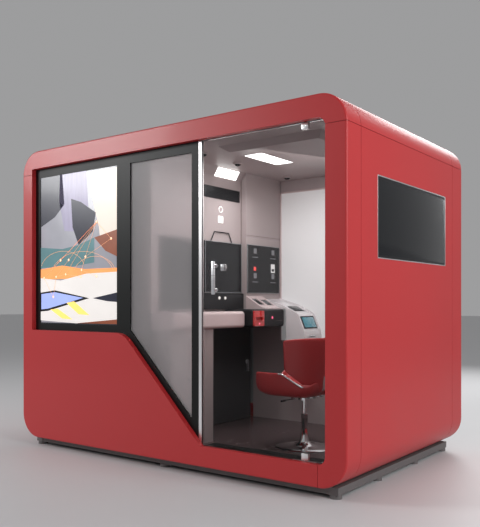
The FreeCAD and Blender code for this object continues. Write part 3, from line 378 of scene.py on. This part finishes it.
def add_poster():
    """An invented abstract picture of glowing links over papers, in thin layers on the poster screen."""
    low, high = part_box("poster_display")
    layers = Maker()
    names = ["art_base", "art_navy", "art_lilac", "art_cream", "art_paper", "art_teal", "art_brown",
             "art_orange", "art_blue", "art_yellow", "art_glow", "art_line", "device_black"]
    looks = [EXTRA.get(n) or LOOKS[n] for n in names]
    step = 0.0003

    def spot(u, v, layer):
        return Vector((low.x + u * (high.x - low.x), low.y - layer * step, low.z + v * (high.z - low.z)))

    def patch(outline, layer, name):
        layers.slab([spot(u, v, layer) for u, v in outline], (0, step * 0.9, 0), names.index(name))

    layers.block(spot(0.006, 0.006, 1), spot(0.994, 0.994, 0), 0.0001, 0)
    patch([(0, 0.66), (0.20, 0.72), (0.33, 0.80), (0.30, 1), (0, 1)], 2, "art_navy")
    patch([(0.33, 0.62), (0.66, 0.60), (0.62, 1), (0.27, 1), (0.26, 0.82)], 2, "art_lilac")
    patch([(0.64, 0.99), (0.70, 0.80), (0.78, 0.62), (0.80, 0.50), (1, 0.50), (1, 0.99)], 2, "art_cream")
    patch([(0.42, 0.83), (0.55, 0.80), (0.74, 0.72), (0.70, 0.60), (0.52, 0.52), (0.44, 0.64)], 3,
          "art_navy")
    patch([(0, 0.52), (0.30, 0.50), (0.52, 0.52), (0.45, 0.38), (0, 0.38)], 3, "art_teal")
    patch([(0.52, 0.52), (0.72, 0.56), (0.72, 0.40), (0.44, 0.38)], 4, "art_teal")
    patch([(0.72, 0.56), (1, 0.60), (1, 0.43), (0.86, 0.47)], 4, "art_brown")
    patch([(0, 0.30), (0, 0.37), (0.30, 0.39), (0.60, 0.36), (1, 0.36), (1, 0.30)], 4, "art_orange")
    patch([(0, 0.02), (0, 0.31), (0.28, 0.29), (0.62, 0.33), (1, 0.335), (1, 0.035), (0.5, 0.005)], 5,
          "art_paper")
    patch([(0.50, 0.006), (1, 0.036), (1, 0.006)], 6, "art_brown")
    patch([(0.70, 0.17), (1, 0.205), (1, 0.145), (0.88, 0.15)], 6, "art_navy")
    patch([(0, 0.08), (0.10, 0.085), (0.66, 0.17), (0.20, 0.225), (0, 0.21)], 6, "device_black")
    patch([(0.01, 0.095), (0.10, 0.10), (0.58, 0.172), (0.20, 0.212), (0.01, 0.20)], 7, "art_blue")
    patch([(0.14, 0.095), (0.24, 0.10), (0.44, 0.03), (0.30, 0.035)], 7, "art_yellow")
    patch([(0.36, 0.14), (0.46, 0.15), (0.66, 0.06), (0.52, 0.065)], 7, "art_yellow")

    hubs = [(0.75, 0.66), (0.93, 0.545), (0.61, 0.44), (0.39, 0.425), (0.28, 0.425), (0.56, 0.355),
            (0.35, 0.33), (0.22, 0.315), (0.05, 0.31), (0.18, 0.18), (0.75, 0.31), (0.55, 0.31)]
    links = [(0, 1), (0, 2), (0, 3), (0, 4), (0, 6), (0, 8), (1, 2), (2, 5), (3, 7), (4, 8), (5, 10), (6, 7),
             (7, 9), (5, 11), (6, 11), (8, 9)]
    for u, v in hubs:
        middle = spot(u, v, 9)
        layers.rod(middle, middle + Vector((0, 0.0008, 0)), 0.010, names.index("art_line"), 16)
        layers.rod(middle - Vector((0, 0.0006, 0)), middle + Vector((0, 0.0008, 0)), 0.007,
                   names.index("art_glow"), 16)
    for a, b in links:
        layers.tube([spot(*hubs[a], 9), spot(*hubs[b], 9)], 0.0010, names.index("art_line"), 6)
    for u, v, wide in ((0.55, 0.30, 0.42), (0.30, 0.36, 0.30), (0.72, 0.33, 0.26)):
        bow = [spot(u + wide * x, v + wide * 0.42 * z, 9) for x, z in arc((0, 0), 1, 15, 165, 14)
               if u + wide * x < 0.99]
        layers.tube(bow, 0.0012, names.index("art_line"), 6)
    layers.done("poster_picture", "booth", looks)


def add_side_display():
    """Bright trim round a glossy black pane in the right side."""
    low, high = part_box("side_display")
    trim = 0.007
    rim = Maker()
    for a, b in (((low.y, low.z), (high.y, low.z + trim)), ((low.y, high.z - trim), (high.y, high.z)),
                 ((low.y, low.z + trim), (low.y + trim, high.z - trim)),
                 ((high.y - trim, low.z + trim), (high.y, high.z - trim))):
        rim.block((low.x, *a), (high.x, *b), 0.0012)
    rim.done("side_display_trim", "booth", [LOOKS["bright_trim"]], ["side_display"])
    pane = Maker()
    pane.block((low.x, low.y + trim, low.z + trim), (high.x - 0.002, high.y - trim, high.z - trim), 0.0008)
    border = 0.016
    inner = high.x - 0.002
    pane.block((inner - 0.0004, low.y + trim + border, low.z + trim + border),
               (inner + 0.0003, high.y - trim - border, high.z - trim - border), 0.0002, 1)
    pane.done("side_display_pane", "booth", [LOOKS["device_black"], LOOKS["screen"]],
              ["side_display"])


def add_door_parts():
    """Rounded handle, lock, and patch fittings with their screws."""
    low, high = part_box("door_furniture")
    glass_low, glass_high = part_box("door_glass")
    handle_x = low.x + 0.014
    face = glass_low.y
    handle = Maker()
    handle.block((handle_x - 0.014, low.y, low.z), (handle_x + 0.014, low.y + 0.012, high.z), 0.0045,
                 segments=4)
    for z in (low.z + 0.03, high.z - 0.03):
        handle.rod((handle_x, low.y + 0.006, z), (handle_x, face, z), 0.008)
        handle.rod((handle_x, face - 0.003, z), (handle_x, face, z), 0.013)
    handle.done("door_handle", "door", [LOOKS["zinc_steel"]], ["door_furniture"])
    lock = Maker()
    lock_x, lock_z = high.x - 0.013, 1.397
    lock.block((lock_x - 0.013, glass_low.y - 0.009, lock_z - 0.022),
               (lock_x + 0.013, glass_low.y, lock_z + 0.022),
               0.003)
    lock.block((lock_x - 0.013, glass_high.y, lock_z - 0.022),
               (lock_x + 0.013, glass_high.y + 0.014, lock_z + 0.022),
               0.003)
    lock.rod((lock_x, glass_low.y - 0.012, lock_z + 0.004), (lock_x, glass_low.y - 0.008, lock_z + 0.004),
             0.008)
    lock.block((lock_x - 0.001, glass_low.y - 0.0126, lock_z),
               (lock_x + 0.001, glass_low.y - 0.0115, lock_z + 0.008),
               0.0002, 1)
    lock.done("door_lock", "door", [LOOKS["zinc_steel"], LOOKS["device_black"]],
              ["door_furniture"])
    patch_low, patch_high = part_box("patch_fittings")
    patches = Maker()
    tall = 0.040
    for z0 in (patch_low.z, patch_high.z - tall):
        patches.block((patch_low.x, patch_low.y, z0), (patch_high.x, patch_high.y, z0 + tall), 0.003)
        for x in (patch_low.x + 0.012, patch_high.x - 0.012):
            for y0, y1 in ((patch_low.y - 0.001, patch_low.y + 0.002),
                           (patch_high.y - 0.002, patch_high.y + 0.001)):
                patches.rod((x, y0, z0 + tall / 2), (x, y1, z0 + tall / 2), 0.005)
    patches.done("door_patches", "door", [LOOKS["bright_trim"]], ["patch_fittings"])


def add_rear_fittings():
    """The service door notched for its hinge barrels, a framed louvre for the equipment, and screws."""
    low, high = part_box("service_door")
    wall_low, wall_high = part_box("rear_wall_panel")
    levels = (low.z + 0.25, (low.z + high.z) / 2, high.z - 0.25)
    outline = [(low.x, low.z)]
    notch_x = low.x + 0.014
    for z in levels:
        foot, head = z - 0.054, z + 0.064
        outline += [(low.x, foot), (notch_x, foot), (notch_x, head), (low.x, head)]
    spindle_x, spindle_z = -0.530, 1.150
    outline += [(low.x, high.z), (high.x, high.z), (high.x, spindle_z)]
    outline += arc((spindle_x, spindle_z), 0.0096, 0, 360, 24) + [(high.x, spindle_z), (high.x, low.z)]
    leaf = Maker()
    leaf.slab([(x, low.y, z) for x, z in outline], (0, high.y - low.y, 0))
    leaf.done("service_leaf_sheet", "service_leaf", [LOOKS["equipment_grey"]],
              ["service_door"])
    hinges = Maker()
    for z in levels:
        hinges.rod((low.x + 0.002, high.y, z - 0.05), (low.x + 0.002, high.y, z + 0.05), 0.008)
        hinges.rod((low.x + 0.002, high.y, z + 0.052), (low.x + 0.002, high.y, z + 0.060), 0.006)
    hinges.done("service_hinges", "booth", [LOOKS["zinc_steel"]])
    louvre = Maker()
    x0, x1, z0, z1 = wall_low.x + 0.25, wall_low.x + 0.85, 1.72, 2.06
    face = wall_high.y
    for a, b in (((x0, z0), (x1, z0 + 0.02)), ((x0, z1 - 0.02), (x1, z1)), ((x0, z0), (x0 + 0.02, z1)),
                 ((x1 - 0.02, z0), (x1, z1))):
        louvre.block((a[0], face, a[1]), (b[0], face + 0.012, b[1]), 0.003)
    slats = 12
    pitch = (z1 - z0 - 0.04) / slats
    for i in range(slats):
        z = z0 + 0.02 + pitch * i
        louvre.slab([(x0 + 0.02, face + 0.001, z + pitch), (x0 + 0.02, face + 0.010, z + 0.004),
                     (x0 + 0.02, face + 0.010, z + 0.001), (x0 + 0.02, face + 0.001, z + pitch - 0.003)],
                    (x1 - x0 - 0.04, 0, 0))
    louvre.done("rear_louvre", "booth", [LOOKS["equipment_grey"]])
    screws = Maker()
    for x in (wall_low.x + 0.03, (wall_low.x + wall_high.x) / 2, wall_high.x - 0.045):
        for z in (0.24, 0.90, 1.56, 2.22):
            screws.rod((x, face - 0.001, z), (x, face + 0.003, z), 0.008, sides=20)
    screws.done("rear_screws", "booth", [LOOKS["zinc_steel"]])


# -------------------------------------------------------------------------------------------- inside

def add_room():
    """The mat, the frame of the white back panel, the seams of the tower and the camera domes."""
    floor_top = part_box("floor_deck")[1].z
    mat = Maker()
    x0, x1, y0, y1 = 0.06, 1.31, -0.845, -0.36
    mat.block((x0, y0, floor_top), (x1, y1, floor_top + 0.005), 0.002)
    ribs = 34
    for i in range(ribs):
        y = y0 + 0.012 + (y1 - y0 - 0.024) * i / (ribs - 1)
        mat.block((x0 + 0.01, y - 0.0035, floor_top + 0.004), (x1 - 0.01, y + 0.0035, floor_top + 0.009),
                  0.0015,
                  segments=2)
    mat.done("entrance_mat", "booth", [EXTRA["rubber"]])

    low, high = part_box("back_light_panel")
    strip = Maker()
    wide, deep = 0.014, 0.006
    strip.block((low.x, low.y - deep, low.z), (low.x + wide, low.y, high.z), 0.002)
    strip.block((high.x - 0.03, low.y - deep, low.z), (high.x - 0.03 + wide, low.y, high.z), 0.002)
    strip.block((low.x, low.y - deep, high.z - wide), (high.x - 0.02, low.y, high.z), 0.002)
    strip.block((0.30, low.y - deep, low.z), (high.x - 0.02, low.y, low.z + wide), 0.002)
    strip.done("back_panel_frame", "booth", [LOOKS["counter_pale"]])

    wall_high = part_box("terminal_wall")[1]
    start = 0.324
    seams = Maker()
    seams.block((wall_high.x - 0.001, start + 0.002, 1.747), (wall_high.x + 0.0004, high.y - 0.014, 1.751),
                0.0003)
    seams.block((wall_high.x - 0.001, start + 0.002, 1.738), (wall_high.x + 0.0002, high.y - 0.014, 1.7395),
                0.0002)
    seams.block((wall_high.x - 0.053, start - 0.003, 1.115), (wall_high.x - 0.048, start + 0.0005, 2.27),
                0.0005)
    seams.block((-0.197, -0.23, 1.255), (-0.1966, -0.227, 2.20), 0.0001)
    seams.done("wall_seams", "booth", [EXTRA["seam"]])

    cams = Maker()
    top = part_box("ceiling_cameras")[1].z
    for x, y in ((0.075, -0.510), (0.055, -0.060), (0.040, 0.690)):
        ring = [(0, top), (0.038, top), (0.038, top - 0.006), (0.034, top - 0.010), (0.028, top - 0.011),
                (0, top - 0.011)]
        cams.lathe(ring, x, y)
        dome = [(0, top - 0.010)] + [(r, top - 0.010 - z) for r, z in arc((0, 0), 0.026, 0, 80, 8)]
        dome = [(r, top - 0.010 - max(0.0, top - 0.010 - z) * 0.6) for r, z in dome] + [(0, top - 0.026)]
        cams.lathe(dome, x, y, 1)
    cams.done("camera_domes", "booth", [LOOKS["wall_grey"], LOOKS["screen"]],
              ["ceiling_cameras"])


def add_terminal_marks():
    """A plain pictogram over the main display and the few lit icons of the touch screen."""
    face = -0.197
    sign = Maker()
    y, z = 0.038, 1.940
    sign.tube([(face + 0.002, a, b) for a, b in arc((y, z), 0.024, 0, 360, 28)], 0.004, 0, 8)
    sign.block((face - 0.0005, y - 0.034, 1.828), (face + 0.003, y + 0.034, 1.886), 0.003)
    for line in range(3):
        sign.block((face - 0.0015, y - 0.024, 1.840 + 0.014 * line),
                   (face, y + 0.024, 1.846 + 0.014 * line), 0.0005, 1)
    sign.done("guide_mark", "booth", [EXTRA["mark"], EXTRA["seam"]])

    glass = -0.134
    icons = Maker()

    def bar(y0, z0, wide, tall, which):
        icons.block((glass - 0.0004, y0, z0), (glass + 0.0004, y0 + wide, z0 + tall), 0.0002, which, 1)

    for y0 in (0.405, 0.680):
        for z0 in (1.345, 1.560):
            bar(y0, z0, 0.085, 0.006, 2)
            bar(y0 + 0.02, z0 + 0.035, 0.045, 0.045, 2)
    bar(0.425, 1.445, 0.035, 0.035, 0)
    bar(0.690, 1.435, 0.062, 0.078, 1)
    icons.block((glass - 0.0002, 0.702, 1.448), (glass + 0.0008, 0.740, 1.470), 0.0002, 3, 1)
    icons.done("touch_icons", "booth",
               [EXTRA["icon_red"], EXTRA["icon_white"], EXTRA["icon_dim"], LOOKS["device_black"]])

    frames = Maker()
    for y0, y1, x in ((-0.177, 0.309, -0.181), (0.337, 0.823, -0.133)):
        for z in (1.2495, 1.6665):
            frames.block((x - 0.004, y0 - 0.003, z), (x + 0.001, y1 + 0.003, z + 0.004), 0.001)
        for y in (y0 - 0.003, y1 - 0.001):
            frames.block((x - 0.004, y, 1.2495), (x + 0.001, y + 0.004, 1.6705), 0.001)
    frames.done("display_edges", "booth", [LOOKS["equipment_grey"]])


def add_counter_parts():
    """What is on the module, the console and the kiosk: lamp, lips, keys, slots and screens."""
    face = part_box("service_module")[1].x
    module = Maker()
    module.slab([(face, 0.370, 1.034), (face, 0.394, 1.034), (face, 0.382, 1.054)], (0.002, 0, 0), 1, 0.0004)
    module.block((face - 0.002, 0.300, 1.006), (face + 0.0012, 0.3015, 1.104), 0.0003)
    module.block((face - 0.002, 0.450, 1.012), (face + 0.0015, 0.540, 1.016), 0.0006)
    module.done("module_details", "booth", [EXTRA["seam"], EXTRA["lamp_pink"]])

    bezel_low, bezel_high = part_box("dispenser_bezel")
    lips = Maker()
    mid_y = (bezel_low.y + bezel_high.y) / 2
    lips.block((bezel_high.x - 0.004, bezel_low.y + 0.012, 1.0495),
               (bezel_high.x + 0.003, bezel_high.y - 0.012, 1.056),
               0.002)
    lips.block((bezel_high.x - 0.004, bezel_low.y + 0.012, 1.011),
               (bezel_high.x + 0.005, bezel_high.y - 0.012, 1.018),
               0.003)
    lips.slab([(bezel_high.x - 0.001, mid_y - 0.012, 0.990), (bezel_high.x - 0.001, mid_y + 0.012, 0.990),
               (bezel_high.x - 0.001, mid_y, 1.003)], (0.0015, 0, 0), 1, 0.0003)
    lips.done("dispenser_lips", "booth", [LOOKS["dispenser_red"], EXTRA["lamp_pink"]])

    keys = Maker()
    slope = -99 / 170

    def deck_z(x):
        return 1.215 + (x + 0.144) * slope

    for row in range(4):
        for column in range(4):
            x, y = -0.092 + row * 0.021, 0.474 + column * 0.021
            z = deck_z(x + 0.007)
            keys.block((x, y, z - 0.004), (x + 0.015, y + 0.015, z + 0.004), 0.0015, segments=2)
    keys.block((-0.112, 0.362, deck_z(-0.069) - 0.030), (-0.100, 0.422, deck_z(-0.106) + 0.002), 0.002)
    keys.done("console_keys", "booth", [LOOKS["equipment_grey"]])

    kiosk_low, kiosk_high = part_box("kiosk_body")
    middle = (kiosk_low.y + kiosk_high.y) / 2
    top = Maker()

    def plate(start, run, wide, which, lift, thick=0.004):
        direction = Vector((run[0], 0, run[1])).normalized()
        out = Vector((-direction.z, 0, direction.x))
        a = Vector((start[0], middle, start[1])) + out * lift
        b = a + Vector((run[0], 0, run[1]))
        half = Vector((0, wide / 2, 0))
        top.slab([a - half, b - half, b + half, a + half], out * thick, which, 0.001)

    plate((0.074, 1.1325), (0.080, -0.040), 0.150, 0, 0.001)
    plate((0.084, 1.1275), (0.062, -0.031), 0.125, 1, 0.004, 0.002)
    plate((0.222, 1.049), (0.047, -0.106), 0.215, 0, -0.001, 0.006)
    plate((0.227, 1.038), (0.038, -0.086), 0.190, 2, 0.0045, 0.0015)
    top.done("kiosk_panels", "booth",
             [LOOKS["device_black"], LOOKS["screen"], EXTRA["teal"]],
             ["kiosk_screens"])
    slots = Maker()
    slots.block((0.280, middle - 0.055, 0.868), (0.290, middle + 0.055, 0.884), 0.003)
    slots.block((0.284, middle - 0.045, 0.873), (0.2915, middle + 0.045, 0.878), 0.001, 1)
    slots.block((0.280, middle - 0.030, 0.826), (0.2885, middle + 0.030, 0.846), 0.004)
    slots.done("kiosk_slots", "booth", [LOOKS["zinc_steel"], LOOKS["screen"]])


def add_cabinet_details():
    """Edge profiles of the cabinet, the cassettes' handles in the safe and the vents of the equipment."""
    low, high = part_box("pedestal_cabinet")
    trims = Maker()
    trims.block((-0.004, low.y + 0.002, low.z + 0.002), (0.001, low.y + 0.006, high.z - 0.002), 0.001)
    trims.block((-0.004, high.y - 0.007, low.z + 0.002), (0.001, high.y + 0.001, high.z - 0.002), 0.001)
    trims.done("cabinet_edges", "booth", [LOOKS["lining_dark"]])
    pulls = Maker()
    for i in range(4):
        z = 0.1925 + 0.125 * i
        bend = [(-0.510, 0.47), (-0.494, 0.47), (-0.490, 0.478), (-0.490, 0.588), (-0.494, 0.596),
                (-0.510, 0.596)]
        pulls.tube([(x, y, z) for x, y in bend], 0.005)
        pulls.rod((-0.512, 0.70, z), (-0.504, 0.70, z), 0.009)
    pulls.done("cassette_pulls", "booth", [LOOKS["zinc_steel"]])
    vents = Maker()
    for i in range(9):
        vents.block((-1.02 + 0.022 * i, -0.2425, 1.24), (-1.01 + 0.022 * i, -0.239, 1.35), 0.001)
        vents.block((-1.22 + 0.022 * i, -0.4005, 0.30), (-1.21 + 0.022 * i, -0.397, 0.52), 0.001)
    vents.rod((-0.82, -0.2435, 1.30), (-0.82, -0.239, 1.30), 0.012, 1)
    vents.done("equipment_vents", "booth", [LOOKS["device_black"], LOOKS["button_lit"]])


# --------------------------------------------------------------------------------------------- chair

CHAIR_X, CHAIR_Y = 0.680, -0.065
SHELL_CENTRE_X = CHAIR_X - 0.075
RIM_FRONT_Z = 0.655
RIM_DROP = 0.082
DROP_START_X = CHAIR_X - 0.045
DROP_LENGTH = 0.165


def smooth_grid(rows, name, closed=False, thick=0.0, levels=2):
    """A grid of points as a subdivided sheet, thickened where thick is given."""
    mesh = bpy.data.meshes.new(name)
    count = len(rows[0])
    faces = []
    for i in range(len(rows) - 1):
        for j in range(count if closed else count - 1):
            k = (j + 1) % count
            faces.append((i * count + j, i * count + k, (i + 1) * count + k, (i + 1) * count + j))
    if closed:
        faces.append(tuple(range(count))[::-1])
        faces.append(tuple((len(rows) - 1) * count + j for j in range(count)))
    mesh.from_pydata([p for row in rows for p in row], [], faces)
    mesh.materials.append(LOOKS["chair_red"])
    for polygon in mesh.polygons:
        polygon.use_smooth = True
    piece = bpy.data.objects.new(name, mesh)
    bpy.context.scene.collection.objects.link(piece)
    if thick:
        solid = piece.modifiers.new("thickness", "SOLIDIFY")
        solid.thickness = thick
        solid.offset = 1
    soft = piece.modifiers.new("smooth", "SUBSURF")
    soft.levels = soft.render_levels = levels
    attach(piece, "seat")
    return piece


def squared(angle):
    """The cosine and sine of an angle pushed outwards to a rounded square."""
    c, s = math.cos(angle), math.sin(angle)
    square = (abs(c) ** 7 + abs(s) ** 7) ** (-1 / 7)
    return c * square, s * square


def side_rim(x):
    """Height of the tub's side: level at the front, then falling to the back."""
    fallen = min(max((x - DROP_START_X) / DROP_LENGTH, 0.0), 1.0)
    return RIM_FRONT_Z - RIM_DROP * fallen


def add_chair():
    """A moulded tub seat, a back that wraps round it, the bright trim between them and the turned base."""
    seat_low, seat_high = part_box("chair_seat")
    middle_x = (seat_low.x + seat_high.x) / 2
    long_half = (seat_high.x - seat_low.x) / 2
    wide_half = (seat_high.y - seat_low.y) / 2
    bottom = seat_low.z
    bowl = bottom + 0.100
    front_rim = bowl + 0.018
    profile = [(0.20, 0.000, 0.0), (0.58, 0.000, 0.0), (0.82, 0.006, 0.0), (0.94, 0.026, 0.0),
               (0.99, 0.060, 0.0), (1.0, 0.060, 0.5), (1.0, -0.012, 1.0), (0.985, 0.000, 1.0),
               (0.950, 0.000, 1.0), (0.925, -0.012, 1.0), (0.895, 0.080, 0.4), (0.860, 0.110, 0.0),
               (0.78, 0.100, 0.0), (0.50, 0.094, 0.0), (0.20, 0.092, 0.0)]
    steps = 48
    rows = []
    for reach, rise, share in profile:
        row = []
        for i in range(steps):
            c, s = squared(math.tau * i / steps)
            x = middle_x + long_half * reach * c
            y = CHAIR_Y + wide_half * reach * s
            beside = min(max((abs(s) - 0.62) / 0.25, 0.0), 1.0)
            rim = front_rim + (side_rim(middle_x + long_half * c) - front_rim) * beside
            lift = 0.034 * max(0.0, -c * reach - 0.45) if share == 0.0 and rise < 0.07 else 0.0
            low_part = bottom + rise + lift
            z = rim + rise if share == 1.0 else low_part + (rim - low_part) * share
            row.append((x, y, z))
        rows.append(row)
    seat = smooth_grid(rows, "chair_seat_shell", closed=True)
    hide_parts("chair_seat")

    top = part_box("chair_back")[1].z
    spread = 77
    across, up = 24, 8
    rows = []
    for k in range(up + 1):
        row = []
        for i in range(across + 1):
            turn = -spread + 2 * spread * i / across
            edge = abs(turn) / spread
            foot = 0.515 + 0.165 * max(0.0, (edge - 0.30) / 0.70) ** 1.3
            head = top - 0.008 - 0.022 * edge ** 5
            z = foot + (head - foot) * k / up
            radius = 0.244 + 0.062 * (z - 0.515) / (top - 0.515)
            a = math.radians(turn)
            row.append((SHELL_CENTRE_X + radius * math.cos(a), CHAIR_Y + radius * 0.95 * math.sin(a), z))
        rows.append(row)
    back = smooth_grid(rows, "chair_back_shell", thick=0.020)
    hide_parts("chair_back")

    trim = Maker()
    for way in (-1, 1):
        path = []
        for i in range(19):
            x = CHAIR_X - 0.075 + 0.0115 * i
            along = (x - middle_x) / long_half
            half = wide_half * (1 - abs(along) ** 7) ** (1 / 7)
            path.append((x, CHAIR_Y + way * (half + 0.001), side_rim(x) - 0.006))
        trim.tube(path, 0.0065)
    trim.done("chair_trim", "seat", [LOOKS["chrome"]])
    piping = Maker()
    ring = []
    for i in range(65):
        c, s = squared(math.tau * i / 64)
        ring.append((middle_x + long_half * 0.80 * c, CHAIR_Y + wide_half * 0.80 * s, bowl + 0.003))
    piping.tube(ring, 0.0022, 0, 8)
    piping.done("chair_piping", "seat", [LOOKS["chair_red"]])

    base_low, base_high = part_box("chair_base")
    turned = Maker()
    reach = base_high.x - CHAIR_X
    profile = [(0, base_low.z), (reach - 0.003, base_low.z), (reach, base_low.z + 0.002),
               (reach, base_low.z + 0.005), (reach - 0.006, base_low.z + 0.009), (0.15, base_low.z + 0.013),
               (0.09, base_low.z + 0.018), (0.050, base_low.z + 0.030), (0.032, base_low.z + 0.055),
               (0.0265, base_low.z + 0.095), (0.025, base_low.z + 0.12), (0.025, base_high.z - 0.012),
               (0.0265, base_high.z - 0.010), (0.0265, base_high.z - 0.001), (0.024, base_high.z),
               (0, base_high.z)]
    turned.lathe(profile, CHAIR_X, CHAIR_Y)
    turned.done("chair_pedestal", "booth", [LOOKS["chrome"]], ["chair_base"])


dress_frame()
add_camera()
add_studio()
add_poster()
add_side_display()
add_door_parts()
add_rear_fittings()
add_room()
add_terminal_marks()
add_counter_parts()
add_cabinet_details()
add_chair()
